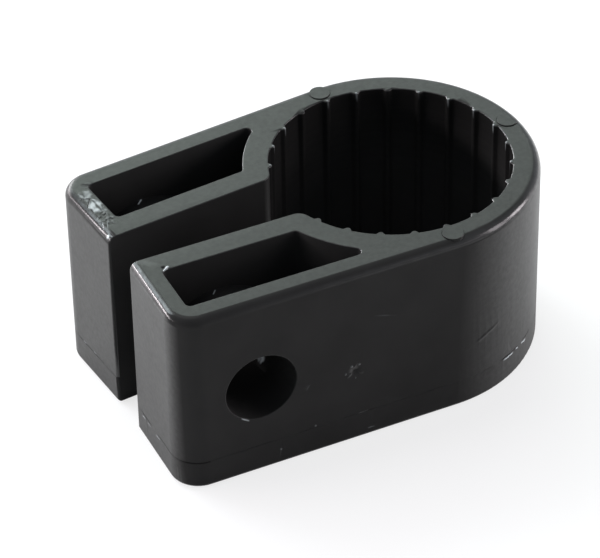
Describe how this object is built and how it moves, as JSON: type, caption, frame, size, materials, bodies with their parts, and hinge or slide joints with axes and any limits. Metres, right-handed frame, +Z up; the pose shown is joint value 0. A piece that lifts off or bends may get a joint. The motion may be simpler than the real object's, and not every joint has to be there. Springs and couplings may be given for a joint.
{
  "type": "cable clamp",
  "caption": "One-piece moulded cable clamp: a split ring with a ribbed bore, and two hollow legs with a fixing hole across them for a screw.",
  "frame": {"origin": "on the axis of the ring's bore, at the underside on which the clamp lies", "axes": "+Z up along the cable's axis, +X from the legs towards the ring's back, +Y from the near leg to the far leg"},
  "size_m": [0.0426, 0.028, 0.0195],
  "materials": {
    "black_plastic": "satin moulded"
  },
  "bodies": {
    "root": {"clamp_body": "black_plastic"}
  },
  "joints": []
}
